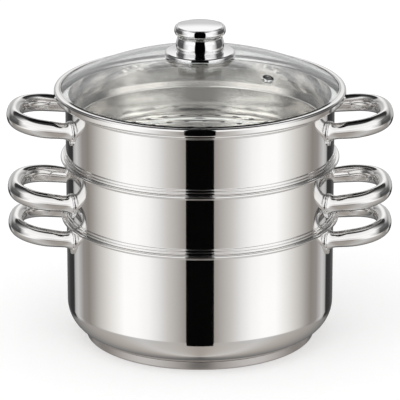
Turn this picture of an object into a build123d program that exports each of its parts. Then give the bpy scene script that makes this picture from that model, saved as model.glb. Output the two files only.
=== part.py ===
"""Three-tier stainless steel steamer set: a pot, two perforated steamer tiers and a domed glass lid.

Millimetres, +Z up. The origin is on the surface that the pot stands on, under its centre. The handles
point along +X and -X. Each vessel is seated on the rim of the one below it, and the lid on the top one.
"""

from build123d import *
import os
from math import atan2, cos, degrees, radians, sin, sqrt, tan

os.makedirs("parts", exist_ok=True)

# Turns
quarter_turn = 90
half_turn = 180

# Vessels: sizes that all three share, so that they stack
vessel_radius = 138.0
sheet = 0.9
fit = 0.05
nesting_clearance = 1.6

# Rolled rim of a vessel
rim_height = 4.8
rim_overhang = 5.5
rim_shoulder = 2.2
rim_lip = 2.8
rim_bevel = 0.8

# Pot
pot_height = 130.5
pot_floor_height = 7.0
pot_corner_radius = 30.0
base_inset = 19.3
base_height = 8.6
base_cap_sheet = 0.8
base_edge_bevel = 1.6

# Steamer tiers
tier_pitch = 62.8
skirt_depth = 11.0
bead_overhang = 2.4
bead_height = 3.0
bead_step_overhang = 1.1
bead_step_height = 5.6
bead_bevel = 0.7

# Perforated basket inside a tier
ledge_drop = 27.0
ledge_width = 11.0
floor_drop = 54.8
basket_lip_width = 7.0
plate_thickness = 0.8
plate_rib_inset = 28.0
plate_rib_width = 5.0
plate_rib_height = 1.2
hole_radius = 2.9
hole_sides = 6
hole_ring_spacing = 21.0
hole_spacing = 19.0
outer_hole_inset = 17.0

# Looped handles, and how far below the rim each vessel's hang
handle_foot_spread = 46.0
handle_corner_spread = 52.0
handle_projection = 51.7
handle_rise = 6.5
handle_bend = 38.0
bar_radius = 8.6
bar_foot_radius = 7.6
bar_taper_share = 0.85
bar_root = 12.0
handle_gaps = {"pot": 3.4, "middle": 27.6, "top": 12.9}

# Leaf-shaped weld plates that carry the handles
weld_plate_thickness = 2.2
leaf_margin = 3.5
leaf_tip_radius = 4.0
leaf_tip_drop = 11.0
dent_radius = 1.3
dent_depth = 0.7
dent_side_share = 0.74
dent_drop_shares = (0.1, 0.52)

# Lid: glass dome and steel band
dome_radius = 305.0
glass_thickness = 4.0
band_overhang = 6.0
band_wall = 2.65
band_seat_overhang = 0.7
band_sheet = 0.9
band_height = 9.1
band_bevel = 1.4
band_undercut = 1.2
band_lip_width = 4.3
lid_skirt_depth = 8.0

# Steam vent in the glass
vent_distance = 85.0
vent_bearing = -36.3
vent_bore_radius = 2.6
vent_barrel_wall = 1.4
vent_flange_width = 2.0
vent_flange_thickness = 1.2
vent_flange_bevel = 0.5
vent_fit = 0.1

# Knob
knob_flange_radius = 36.0
knob_flange_thickness = 5.4
knob_flange_round = 2.2
knob_height = 26.0
knob_radius = 26.3
knob_foot_inset = 1.3
knob_waist_inset = 2.8
knob_neck_inset = 1.6
knob_mouth_inset = 1.9
knob_waist_share = 0.31
knob_neck_share = 0.52
knob_bulb_share = 0.73
knob_wall = 2.0
cap_margin = 1.2
cap_thickness = 1.6
cap_crown = 0.9

# Knob fastening
screw_radius = 2.45
screw_hole_clearance = 0.25
screw_head_overhang = 2.15
screw_head_height = 3.0
boss_wall = 3.5
boss_height = 18.0
boss_plate_thickness = 2.5
engagement_share = 0.67
washer_overhang = 3.4
washer_thickness = 1.2
seal_overhang = 1.0
seal_thickness = 1.5
glass_bore_clearance = 2.05

# Worked out from the sizes above
inner_radius = vessel_radius - sheet
rim_radius = vessel_radius + rim_overhang
skirt_radius = inner_radius - nesting_clearance
base_radius = vessel_radius - base_inset
tier_seats = {"middle": pot_height, "top": pot_height + tier_pitch}
lid_seat = pot_height + 2 * tier_pitch
rims = {"pot": pot_height, "middle": pot_height + tier_pitch, "top": lid_seat}


def rim_outline(top):
    """Points of a rolled rim from the outside wall up, over the lip and down to the inside wall."""
    wall_end = top - rim_height
    lip_under = top - rim_lip
    shoulder_radius = vessel_radius + rim_shoulder
    return [
        (vessel_radius, wall_end),
        (shoulder_radius, wall_end + rim_bevel),
        (shoulder_radius, lip_under),
        (rim_radius - rim_bevel, lip_under),
        (rim_radius, lip_under + rim_bevel),
        (rim_radius, top - rim_bevel),
        (rim_radius - rim_bevel, top),
        (inner_radius + rim_bevel, top),
        (inner_radius, top - rim_bevel),
    ]


# Pot body
with BuildPart() as pot_body:
    with BuildSketch(Plane.XZ):
        with BuildLine():
            underside = Line((0, pot_floor_height), (vessel_radius - pot_corner_radius, pot_floor_height))
            corner = JernArc(underside @ 1, underside % 1, pot_corner_radius, quarter_turn)
            wall = Polyline(
                corner @ 1,
                *rim_outline(pot_height),
                (inner_radius, pot_floor_height + pot_corner_radius),
            )
            inner_corner = JernArc(wall @ 1, (0, -1), pot_corner_radius - sheet, -quarter_turn)
            Polyline(inner_corner @ 1, (0, pot_floor_height + sheet), (0, pot_floor_height))
        make_face()
    revolve(axis=Axis.Z)
pot_body.part.label = "pot_body"
export_step(pot_body.part, "parts/pot_body.step")

# Aluminium disc that spreads the heat under the floor, with its edge bevelled to fit inside the cap
core_bevel = base_edge_bevel - base_cap_sheet * (2 - sqrt(2))
with BuildPart() as pot_base_core:
    with BuildSketch(Plane.XY.offset(base_cap_sheet)):
        Circle(base_radius - base_cap_sheet)
    extrude(amount=pot_floor_height - base_cap_sheet)
    chamfer(pot_base_core.edges().group_by(Axis.Z)[0], core_bevel)
pot_base_core.part.label = "pot_base_core"
export_step(pot_base_core.part, "parts/pot_base_core.step")

# Steel cap round the disc
with BuildPart() as pot_base_cap:
    with BuildSketch():
        Circle(base_radius)
    extrude(amount=base_height)
    chamfer(pot_base_cap.edges().group_by(Axis.Z)[0], base_edge_bevel)
    offset(amount=-base_cap_sheet, openings=pot_base_cap.faces().sort_by(Axis.Z)[-1])
pot_base_cap.part.label = "pot_base_cap"
export_step(pot_base_cap.part, "parts/pot_base_cap.step")

# Steamer tiers: the outer ring, the basket wall inside it and the perforated plate in that
for tier, seat in tier_seats.items():
    top = seat + tier_pitch
    bead_radius = vessel_radius + bead_overhang
    step_radius = vessel_radius + bead_step_overhang
    skirt_inner = skirt_radius - sheet
    with BuildPart() as ring:
        with BuildSketch(Plane.XZ):
            with BuildLine():
                Polyline(
                    (skirt_inner, seat - skirt_depth),
                    (skirt_radius, seat - skirt_depth),
                    (skirt_radius, seat),
                    (bead_radius - bead_bevel, seat),
                    (bead_radius, seat + bead_bevel),
                    (bead_radius, seat + bead_height),
                    (step_radius, seat + bead_height),
                    (step_radius, seat + bead_step_height - bead_bevel),
                    (vessel_radius, seat + bead_step_height),
                    *rim_outline(top),
                    (inner_radius, seat + sheet + nesting_clearance),
                    (skirt_inner, seat + sheet),
                    close=True,
                )
            make_face()
        revolve(axis=Axis.Z)
    ring.part.label = f"{tier}_ring"
    export_step(ring.part, f"parts/{tier}_ring.step")

    ledge = top - ledge_drop
    basket_floor = top - floor_drop - plate_thickness
    basket_radius = inner_radius - ledge_width
    with BuildPart() as basket_wall:
        with BuildSketch(Plane.XZ):
            with BuildLine():
                Polyline(
                    (basket_radius, ledge),
                    (basket_radius, basket_floor),
                    (basket_radius - basket_lip_width, basket_floor),
                    (basket_radius - basket_lip_width, basket_floor - sheet),
                    (basket_radius + sheet, basket_floor - sheet),
                    (basket_radius + sheet, ledge - sheet),
                    (inner_radius - fit, ledge - sheet),
                    (inner_radius - fit, ledge),
                    close=True,
                )
            make_face()
        revolve(axis=Axis.Z)
    basket_wall.part.label = f"{tier}_basket_wall"
    export_step(basket_wall.part, f"parts/{tier}_basket_wall.step")

    plate_radius = basket_radius - fit
    hole_rings = int((plate_radius - outer_hole_inset) / hole_ring_spacing)
    with BuildPart() as steam_plate:
        with BuildSketch(Plane.XY.offset(basket_floor)):
            Circle(plate_radius)
            for ring_number in range(hole_rings):
                ring_radius = plate_radius - outer_hole_inset - ring_number * hole_ring_spacing
                hole_count = int(2 * half_turn * radians(ring_radius) / hole_spacing)
                with PolarLocations(ring_radius, hole_count):
                    RegularPolygon(hole_radius, hole_sides, mode=Mode.SUBTRACT)
            RegularPolygon(hole_radius, hole_sides, mode=Mode.SUBTRACT)
        extrude(amount=plate_thickness)
        with BuildSketch(Plane.XY.offset(basket_floor + plate_thickness)):
            Circle(plate_radius - plate_rib_inset + plate_rib_width / 2)
            Circle(plate_radius - plate_rib_inset - plate_rib_width / 2, mode=Mode.SUBTRACT)
        extrude(amount=plate_rib_height)
        rib_crown = steam_plate.faces().sort_by(Axis.Z)[-1]
        chamfer(rib_crown.edges(), plate_rib_height - fit)
    steam_plate.part.label = f"{tier}_steam_plate"
    export_step(steam_plate.part, f"parts/{tier}_steam_plate.step")

# Handles: a loop of bar that leans up towards its tip, on two weld plates
foot_x = sqrt(vessel_radius**2 - handle_foot_spread**2)
foot_bearing = degrees(atan2(handle_foot_spread, foot_x))
handle_reach = vessel_radius + handle_projection - foot_x
lean = atan2(handle_rise, handle_reach)
loop_length = handle_reach / cos(lean)
leg_drift = handle_foot_spread - handle_corner_spread
leg_length = sqrt(loop_length**2 + leg_drift**2)
corner_angle = radians(quarter_turn) + atan2(leg_drift, loop_length)
taper_length = bar_taper_share * (leg_length - handle_bend / tan(corner_angle / 2))
taper_start_x = loop_length * taper_length / leg_length
taper_start_y = handle_foot_spread - leg_drift * taper_length / leg_length
taper_angle = degrees(atan2(bar_radius - bar_foot_radius, taper_length))
weld_face_radius = vessel_radius + weld_plate_thickness
leaf_radius = bar_foot_radius + leaf_margin
trim_height = leaf_tip_drop + leaf_tip_radius + bar_radius

for vessel, rim in rims.items():
    foot_z = rim - rim_height - bar_foot_radius - handle_gaps[vessel]
    for side, way in (("left", -1), ("right", 1)):
        loop_plane = Plane(
            origin=(way * foot_x, 0, foot_z),
            x_dir=(way * cos(lean), 0, sin(lean)),
            z_dir=(-way * sin(lean), 0, cos(lean)),
        )
        with BuildPart() as handle:
            with BuildLine(loop_plane):
                route = FilletPolyline(
                    (taper_start_x, -taper_start_y),
                    (loop_length, -handle_corner_spread),
                    (loop_length, handle_corner_spread),
                    (taper_start_x, taper_start_y),
                    radius=handle_bend,
                )
            for end, outward in ((route @ 0, route % 0), (route @ 1, -(route % 1))):
                with BuildSketch(Plane(origin=end, z_dir=-outward)):
                    Circle(bar_radius)
                extrude(amount=taper_length + bar_root, taper=taper_angle)
            with BuildSketch(Plane(origin=route @ 0, z_dir=route % 0)):
                Circle(bar_radius)
            sweep(path=route)
            with BuildSketch(Plane.XY.offset(foot_z - trim_height)):
                Circle(weld_face_radius)
            extrude(amount=2 * trim_height, mode=Mode.SUBTRACT)
        handle.part.label = f"{vessel}_handle_{side}"
        export_step(handle.part, f"parts/{vessel}_handle_{side}.step")

        with BuildPart() as weld_plates:
            for foot in (-1, 1):
                bearing = radians(foot * foot_bearing)
                outward = Vector(way * cos(bearing), sin(bearing), 0)
                foot_plane = Plane(
                    origin=outward * (vessel_radius - bar_root) + Vector(0, 0, foot_z),
                    x_dir=Vector(0, 0, 1).cross(outward),
                    z_dir=outward,
                )
                with BuildSketch(foot_plane):
                    Circle(leaf_radius)
                    with Locations((0, -leaf_tip_drop)):
                        Circle(leaf_tip_radius)
                    make_hull()
                extrude(amount=2 * bar_root)
            with BuildSketch(Plane.XY.offset(foot_z - trim_height)):
                Circle(weld_face_radius)
                Circle(vessel_radius, mode=Mode.SUBTRACT)
            to_rim = rim - rim_height - foot_z
            extrude(amount=trim_height + min(trim_height, to_rim), mode=Mode.INTERSECT)
            for foot in (-1, 1):
                bearing = radians(foot * foot_bearing)
                outward = Vector(way * cos(bearing), sin(bearing), 0)
                dent_plane = Plane(
                    origin=outward * (weld_face_radius - dent_depth) + Vector(0, 0, foot_z),
                    x_dir=Vector(0, 0, 1).cross(outward),
                    z_dir=outward,
                )
                with BuildSketch(dent_plane):
                    for share in dent_drop_shares:
                        with Locations((foot * way * dent_side_share * leaf_radius, -share * leaf_radius)):
                            Circle(dent_radius)
                extrude(amount=bar_root, mode=Mode.SUBTRACT)
        weld_plates.part.label = f"{vessel}_handle_{side}_plates"
        export_step(weld_plates.part, f"parts/{vessel}_handle_{side}_plates.step")

# Lid: the glass rests with its lower edge on the band and is held by the band's lip
band_radius = rim_radius + band_overhang
band_seat_radius = rim_radius + band_seat_overhang
channel_radius = band_radius - band_wall
glass_radius = channel_radius - fit
glass_bore_radius = screw_radius + glass_bore_clearance
inner_dome_radius = dome_radius - glass_thickness
glass_seat = lid_seat + band_undercut + band_sheet
dome_centre = glass_seat - sqrt(inner_dome_radius**2 - glass_radius**2)


def outer_dome(radius):
    """Height of the glass's upper face at this distance from the axis."""
    return dome_centre + sqrt(dome_radius**2 - radius**2)


def inner_dome(radius):
    """Height of the glass's lower face at this distance from the axis."""
    return dome_centre + sqrt(inner_dome_radius**2 - radius**2)


vent_barrel_radius = vent_bore_radius + vent_barrel_wall
vent_flange_radius = vent_barrel_radius + vent_flange_width
vent_tilt = atan2(vent_distance, outer_dome(vent_distance) - dome_centre)
vent_normal = Vector(
    sin(vent_tilt) * cos(radians(vent_bearing)),
    sin(vent_tilt) * sin(radians(vent_bearing)),
    cos(vent_tilt),
)
vent_point = Vector(0, 0, dome_centre) + vent_normal * dome_radius
vent_plane = Plane(origin=vent_point, z_dir=vent_normal)

with BuildPart() as lid_glass:
    with BuildSketch(Plane.XZ):
        with BuildLine():
            half_way = glass_radius / 2
            upper = ThreePointArc(
                (glass_bore_radius, outer_dome(glass_bore_radius)),
                (half_way, outer_dome(half_way)),
                (glass_radius, outer_dome(glass_radius)),
            )
            edge = Line(upper @ 1, (glass_radius, inner_dome(glass_radius)))
            lower = ThreePointArc(
                edge @ 1,
                (half_way, inner_dome(half_way)),
                (glass_bore_radius, inner_dome(glass_bore_radius)),
            )
            Line(lower @ 1, upper @ 0)
        make_face()
    revolve(axis=Axis.Z)
    with BuildSketch(vent_plane.offset(-2 * glass_thickness)):
        Circle(vent_barrel_radius + vent_fit)
    extrude(amount=3 * glass_thickness, mode=Mode.SUBTRACT)
lid_glass.part.label = "lid_glass"
export_step(lid_glass.part, "parts/lid_glass.step")

# Steel band round the glass, with a seat on the rim below and a skirt inside it
lid_skirt_inner = skirt_radius - band_sheet
lip_inner = glass_radius - band_lip_width
band_top = lid_seat + band_height
with BuildPart() as lid_rim_band:
    with BuildSketch(Plane.XZ):
        with BuildLine():
            Polyline(
                (lid_skirt_inner, lid_seat - lid_skirt_depth),
                (skirt_radius, lid_seat - lid_skirt_depth),
                (skirt_radius, lid_seat),
                (band_seat_radius, lid_seat),
                (band_seat_radius, lid_seat + band_undercut),
                (band_radius - band_bevel, lid_seat + band_undercut),
                (band_radius, lid_seat + band_undercut + band_bevel),
                (band_radius, band_top - band_bevel),
                (band_radius - band_bevel, band_top),
                (lip_inner, outer_dome(lip_inner) + band_sheet),
                (lip_inner, outer_dome(lip_inner) + fit),
                (channel_radius, outer_dome(channel_radius) + fit),
                (channel_radius, glass_seat),
                (band_seat_radius - band_sheet, glass_seat),
                (band_seat_radius - band_sheet, lid_seat + band_sheet),
                (lid_skirt_inner, lid_seat + band_sheet),
                close=True,
            )
        make_face()
    revolve(axis=Axis.Z)
lid_rim_band.part.label = "lid_rim_band"
export_step(lid_rim_band.part, "parts/lid_rim_band.step")

# Steam vent eyelet, clinched in the glass
with BuildPart() as steam_vent_eyelet:
    with BuildSketch(vent_plane):
        Circle(vent_flange_radius)
    extrude(amount=vent_flange_thickness)
    chamfer(steam_vent_eyelet.faces().sort_by(Axis.Z)[-1].edges(), vent_flange_bevel)
    with BuildSketch(vent_plane):
        Circle(vent_barrel_radius)
    extrude(amount=-glass_thickness - vent_fit)
    with BuildSketch(vent_plane.offset(-glass_thickness - vent_fit)):
        Circle(vent_flange_radius)
    extrude(amount=-vent_flange_thickness)
    with BuildSketch(vent_plane.offset(vent_flange_thickness)):
        Circle(vent_bore_radius)
    extrude(amount=-glass_thickness - 3 * vent_flange_thickness, mode=Mode.SUBTRACT)
steam_vent_eyelet.part.label = "steam_vent_eyelet"
export_step(steam_vent_eyelet.part, "parts/steam_vent_eyelet.step")

# Knob: flange on the glass, hollow grip, cap and threaded boss
flange_seat = outer_dome(knob_flange_radius) + fit
knob_foot = flange_seat + knob_flange_thickness
knob_top = knob_foot + knob_height
screw_bore_radius = screw_radius + fit
screw_hole_radius = screw_radius + screw_hole_clearance
knob_bore_radius = knob_radius - knob_waist_inset - knob_wall
cap_radius = knob_radius - knob_mouth_inset - cap_margin

with BuildPart() as knob_flange:
    with BuildSketch(Plane.XZ):
        with BuildLine():
            half_way = knob_flange_radius / 2
            hollow = ThreePointArc(
                (screw_hole_radius, outer_dome(screw_hole_radius) + fit),
                (half_way, outer_dome(half_way) + fit),
                (knob_flange_radius, flange_seat),
            )
            side = Line(hollow @ 1, (knob_flange_radius, knob_foot - knob_flange_round))
            shoulder = JernArc(side @ 1, side % 1, knob_flange_round, quarter_turn)
            Polyline(shoulder @ 1, (screw_hole_radius, knob_foot), hollow @ 0)
        make_face()
    revolve(axis=Axis.Z)
knob_flange.part.label = "knob_flange"
export_step(knob_flange.part, "parts/knob_flange.step")

with BuildPart() as knob_body:
    with BuildSketch(Plane.XZ):
        with BuildLine():
            waist = ThreePointArc(
                (knob_radius - knob_foot_inset, knob_foot),
                (knob_radius - knob_waist_inset, knob_foot + knob_waist_share * knob_height),
                (knob_radius - knob_neck_inset, knob_foot + knob_neck_share * knob_height),
            )
            bulb = ThreePointArc(
                waist @ 1,
                (knob_radius, knob_foot + knob_bulb_share * knob_height),
                (knob_radius - knob_mouth_inset, knob_top),
            )
            Polyline(
                bulb @ 1,
                (cap_radius + fit, knob_top),
                (cap_radius + fit, knob_top - cap_thickness),
                (knob_bore_radius, knob_top - cap_thickness),
                (knob_bore_radius, knob_foot),
                waist @ 0,
            )
        make_face()
    revolve(axis=Axis.Z)
knob_body.part.label = "knob_body"
export_step(knob_body.part, "parts/knob_body.step")

with BuildPart() as knob_cap:
    with BuildSketch(Plane.XZ):
        with BuildLine():
            crown = TangentArc((0, knob_top + cap_crown), (cap_radius, knob_top), tangent=(1, 0))
            Polyline(
                crown @ 1,
                (cap_radius, knob_top - cap_thickness),
                (0, knob_top - cap_thickness),
                crown @ 0,
            )
        make_face()
    revolve(axis=Axis.Z)
knob_cap.part.label = "knob_cap"
export_step(knob_cap.part, "parts/knob_cap.step")

# Threaded boss, pressed into the foot of the grip
boss_radius = screw_bore_radius + boss_wall
with BuildPart() as knob_insert:
    with BuildSketch(Plane.XY.offset(knob_foot)):
        Circle(knob_bore_radius - fit)
    extrude(amount=boss_plate_thickness)
    with BuildSketch(Plane.XY.offset(knob_foot)):
        Circle(boss_radius)
    extrude(amount=boss_height)
    with BuildSketch(Plane.XY.offset(knob_foot)):
        Circle(screw_bore_radius)
    extrude(amount=boss_height, mode=Mode.SUBTRACT)
knob_insert.part.label = "knob_insert"
export_step(knob_insert.part, "parts/knob_insert.step")

# Silicone seal, steel washer and screw under the glass
screw_head_radius = screw_radius + screw_head_overhang
washer_radius = screw_head_radius + washer_overhang
seal_radius = washer_radius + seal_overhang
seal_top = inner_dome(seal_radius)
with BuildPart() as knob_seal:
    with BuildSketch(Plane.XY.offset(seal_top)):
        Circle(seal_radius)
        Circle(screw_hole_radius, mode=Mode.SUBTRACT)
    extrude(amount=-seal_thickness)
knob_seal.part.label = "knob_seal"
export_step(knob_seal.part, "parts/knob_seal.step")

washer_top = seal_top - seal_thickness
with BuildPart() as knob_washer:
    with BuildSketch(Plane.XY.offset(washer_top)):
        Circle(washer_radius)
        Circle(screw_hole_radius, mode=Mode.SUBTRACT)
    extrude(amount=-washer_thickness)
knob_washer.part.label = "knob_washer"
export_step(knob_washer.part, "parts/knob_washer.step")

screw_seat = washer_top - washer_thickness
with BuildPart() as knob_screw:
    with BuildSketch(Plane.XY.offset(screw_seat)):
        Circle(screw_head_radius)
    extrude(amount=-screw_head_height)
    chamfer(knob_screw.edges().group_by(Axis.Z)[0], screw_head_height / 3)
    with BuildSketch(Plane.XY.offset(screw_seat)):
        Circle(screw_radius)
    extrude(amount=knob_foot + engagement_share * boss_height - screw_seat)
knob_screw.part.label = "knob_screw"
export_step(knob_screw.part, "parts/knob_screw.step")
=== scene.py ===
# %% [markdown]
# # A steamer pot with two tiers and a glass lid
#
# The CAD model brings every piece of the set in its true place and size. This lesson keeps those
# places and gives each piece the soft edges, the polish and the glass that the real one has.
# Everything is in metres, with the set standing on z = 0 and its handles along x.

# %% Load the frame
import math

import bmesh
import bpy
from mathutils import Matrix, Vector


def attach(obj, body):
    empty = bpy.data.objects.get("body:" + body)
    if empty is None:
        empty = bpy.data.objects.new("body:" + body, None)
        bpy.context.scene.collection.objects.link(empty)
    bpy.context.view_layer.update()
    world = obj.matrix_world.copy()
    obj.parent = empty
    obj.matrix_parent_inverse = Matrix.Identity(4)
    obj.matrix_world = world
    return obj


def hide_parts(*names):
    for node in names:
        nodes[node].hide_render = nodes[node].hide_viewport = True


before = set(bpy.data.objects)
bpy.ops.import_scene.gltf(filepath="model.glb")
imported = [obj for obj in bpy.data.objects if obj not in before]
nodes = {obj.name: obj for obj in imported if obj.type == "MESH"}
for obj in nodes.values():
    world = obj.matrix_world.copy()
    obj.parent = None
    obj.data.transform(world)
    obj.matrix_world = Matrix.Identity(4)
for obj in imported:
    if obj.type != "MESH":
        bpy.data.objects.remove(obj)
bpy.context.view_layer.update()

# %% [markdown]
# The sizes below are the ones of the CAD source, in millimetres, because they are easy to compare
# with a ruler. They become metres only when a mesh is made.

# %% Sizes of the vessels
MM = 0.001
WALL = 138.0
SHEET = 0.9
INNER = WALL - SHEET
RIM_OUT = 143.5
RIM_DEPTH = 4.8
SKIRT = 135.5
POT_HEIGHT = 130.5
TIER_HEIGHT = 62.8
LID_SEAT = POT_HEIGHT + 2 * TIER_HEIGHT
FLOOR = 7.0
CORNER = 30.0
RIMS = {"pot": POT_HEIGHT, "middle": POT_HEIGHT + TIER_HEIGHT, "top": LID_SEAT}
BODIES = {"pot": "pot", "middle": "middle_tier", "top": "top_tier"}
print("rims, mm:", RIMS)

# %% [markdown]
# Spun and deep-drawn cookware is round, so most pieces are one outline turned about the axis.
# An outline is a short list of corners, and each corner says how far it is rounded. A sharp
# corner on polished steel looks wrong, because on the real piece every edge catches a thin
# highlight. Next to each arc the outline gets one more point, which keeps the shading of the
# flat runs flat.

# %% Outlines with rounded corners
SUPPORT = 0.35
ARC_STEPS = 5
ARC_SHARE = 0.46


def rounded(corners, steps=ARC_STEPS, most=ARC_SHARE):
    """Points of an outline whose corners are (across, up, rounding).

    An arc takes at most the share most of the shorter side next to it.
    """
    points = []
    for place, (across, up, rounding) in enumerate(corners):
        corner = Vector((across, up))
        if rounding == 0:
            points.append(corner)
            continue
        before = Vector(corners[place - 1][:2]) - corner
        after = Vector(corners[(place + 1) % len(corners)][:2]) - corner
        half = before.angle(after) / 2
        longest = most * min(before.length, after.length)
        reach = min(rounding / math.tan(half), longest)
        inwards = (before.normalized() + after.normalized()).normalized()
        centre = corner + inwards * (reach / math.cos(half))
        first = corner + before.normalized() * reach - centre
        last = corner + after.normalized() * reach - centre
        sweep = first.angle(last)
        if reach + SUPPORT < 0.5 * before.length:
            points.append(corner + before.normalized() * (reach + SUPPORT))
        for step in range(steps + 1):
            share = step / steps
            swung = first * math.sin((1 - share) * sweep) + last * math.sin(share * sweep)
            points.append(centre + swung / math.sin(sweep))
        if reach + SUPPORT < 0.5 * after.length:
            points.append(corner + after.normalized() * (reach + SUPPORT))
    return points


square = rounded([(0, 0, 1), (9, 0, 1), (9, 9, 1), (0, 9, 1)])
print("points of a square rounded by 1:", len(square))

# %% [markdown]
# Turning an outline is plain mesh code: one ring of vertices for each point, joined by quads. A
# point on the axis is a single vertex. The mesh closes on itself, so its faces can be told to
# look outwards, and the angle between faces decides which edges stay crisp.

# %% Turn an outline about the axis
TURNS = 192
FINE_TURNS = 256
KNOB_TURNS = 128
SMALL_TURNS = 64
ON_AXIS = 1e-6
CRISP = math.radians(38)


def placed(name, data):
    """A new object of the scene with this data."""
    thing = bpy.data.objects.new(name, data)
    bpy.context.scene.collection.objects.link(thing)
    return thing


def finish_mesh(name, mesh):
    """Closed mesh data made into an object with outward faces and smooth shading."""
    form = bmesh.new()
    form.from_mesh(mesh)
    bmesh.ops.recalc_face_normals(form, faces=form.faces)
    form.to_mesh(mesh)
    form.free()
    mesh.shade_smooth()
    mesh.set_sharp_from_angle(angle=CRISP)
    return placed(name, mesh)


def turned(name, outline, turns=TURNS, second=None):
    """The outline turned about the axis. Faces where second(across) is true get material 1."""
    verts, rings, faces, marks = [], [], [], []
    for across, up in outline:
        count = 1 if across < ON_AXIS else turns
        rings.append((len(verts), count))
        for turn in range(count):
            angle = 2 * math.pi * turn / turns
            verts.append((across * math.cos(angle) * MM, across * math.sin(angle) * MM, up * MM))
    for place, (start, count) in enumerate(rings):
        following = (place + 1) % len(rings)
        other, other_count = rings[following]
        if count == other_count == 1:
            continue
        middle = (outline[place] + outline[following]) / 2
        for turn in range(turns):
            after = (turn + 1) % turns
            corners = [start + turn % count, start + after % count,
                       other + after % other_count, other + turn % other_count]
            faces.append(list(dict.fromkeys(corners)))
            marks.append(1 if second and second(middle.x) else 0)
    mesh = bpy.data.meshes.new(name)
    mesh.from_pydata(verts, [], faces)
    mesh.polygons.foreach_set("material_index", marks)
    print(f"{name}: {len(faces)} faces")
    return finish_mesh(name, mesh)


print("faces in one turn:", TURNS, "on the lid:", FINE_TURNS, "on the knob:", KNOB_TURNS)

# %% [markdown]
# Shader maths reads best as plain expressions. A small class wraps a socket, so that
# `0.1 + 0.05 * lines` adds the Math nodes by itself. Every other node comes from one method,
# which takes the node's kind, its settings and the values or links of its sockets.

# %% Shader maths as expressions


class Wire:
    """An output socket that adds Math nodes when it meets an operator."""

    def __init__(self, board, socket):
        self.board, self.socket = board, socket

    def maths(self, operation, *values):
        """A Math node fed with these values."""
        return self.board.add("Math", {"operation": operation}, dict(enumerate(values)))

    def __add__(self, other):
        return self.maths("ADD", self, other)

    def __radd__(self, other):
        return self.maths("ADD", other, self)

    def __sub__(self, other):
        return self.maths("SUBTRACT", self, other)

    def __rsub__(self, other):
        return self.maths("SUBTRACT", other, self)

    def __mul__(self, other):
        return self.maths("MULTIPLY", self, other)

    def __rmul__(self, other):
        return self.maths("MULTIPLY", other, self)

    def __truediv__(self, other):
        return self.maths("DIVIDE", self, other)

    def __rtruediv__(self, other):
        return self.maths("DIVIDE", other, self)

    def __pow__(self, other):
        return self.maths("POWER", self, other)

    def __rpow__(self, other):
        return self.maths("POWER", other, self)

    def __gt__(self, other):
        return self.maths("GREATER_THAN", self, other)

    def __lt__(self, other):
        return self.maths("LESS_THAN", self, other)


class Board:
    """A node tree that is being wired."""

    def __init__(self, tree):
        self.tree = tree
        tree.nodes.clear()

    def add(self, kind, settings=None, sockets=None, out=0):
        """A node of this kind with its settings, then its socket values or links."""
        node = self.tree.nodes.new("ShaderNode" + kind)
        for name, value in (settings or {}).items():
            if name != "stops":
                setattr(node, name, value)
                continue
            ramp = node.color_ramp
            while len(ramp.elements) < len(value):
                ramp.elements.new(0.5)
            for stop, (place, grey) in zip(ramp.elements, value):
                stop.position = place
                stop.color = (*([grey] * 3 if isinstance(grey, (int, float)) else grey), 1)
        for name, value in (sockets or {}).items():
            if isinstance(value, Wire):
                self.tree.links.new(value.socket, node.inputs[name])
            else:
                node.inputs[name].default_value = value
        return Wire(self, node.outputs[out]) if node.outputs else None

    def mix(self, share, low, high):
        """One colour that turns into another by this share."""
        return self.add("Mix", {"data_type": "RGBA"}, {0: share, 6: low, 7: high}, out=2)

    def split(self, wire):
        """The three parts of a vector."""
        parts = self.add("SeparateXYZ", None, {0: wire}).socket.node.outputs
        return [Wire(self, part) for part in parts]


def new_material(name):
    """A material and the board of its nodes."""
    material = bpy.data.materials.new(name)
    material.use_nodes = True
    return material, Board(material.node_tree)


def mottled(board, mask, tint, shade):
    """The tint, and this share of it where the mask is low."""
    return board.mix(mask, (*(shade * part for part in tint), 1), (*tint, 1))


print("shader maths is ready")

# %% [markdown]
# Stainless steel has one colour and many finishes. What tells them apart is how much a
# reflection is blurred, and in which way: the outside is buffed on a lathe, which leaves rings so
# fine that they only soften it, the inside keeps the satin of the drawn sheet, and the handles
# and the knob are polished like a mirror. So one recipe makes all of them. The rings come from
# noise that varies only with height and with distance from the axis, and wide, weak patches of
# a second noise stand for the handling that no used surface is free of. The perforated plates
# shine like the inside, the baskets that carry them are duller and have a darker tint, which is
# painted shade for their place inside the tiers, and the cap under the pot is nearly matt.

# %% Steel in several finishes
HANDLED = 0.93
RING_BLUR = 0.25
MIDDLE = 0.5


def steel(name, tint, roughness, lines, line_height, smudge):
    """A steel whose rings are lines per millimetre and line_height metres deep."""
    material, board = new_material(name)
    place = board.add("TexCoord", out="Object")
    across_x, across_y, up = board.split(place)
    across = (across_x * across_x + across_y * across_y) ** 0.5
    rings = board.add("TexNoise", {"noise_dimensions": "1D"},
                      {"W": (up + across) * (lines / MM), "Detail": 3.0, "Roughness": 0.7})
    patches = board.add("TexNoise", None,
                        {"Vector": place, "Scale": 14.0, "Detail": 4.0, "Roughness": 0.55})
    bump = board.add("Bump", None, {"Height": rings, "Strength": 0.5, "Distance": line_height})
    shader = board.add("BsdfPrincipled", None, {
        "Base Color": mottled(board, patches, tint, HANDLED),
        "Metallic": 1.0,
        "Roughness": (roughness + smudge * (patches - MIDDLE)
                      + RING_BLUR * roughness * (rings - MIDDLE)),
        "Normal": bump,
    })
    board.add("OutputMaterial", None, {"Surface": shader})
    return material


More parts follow.
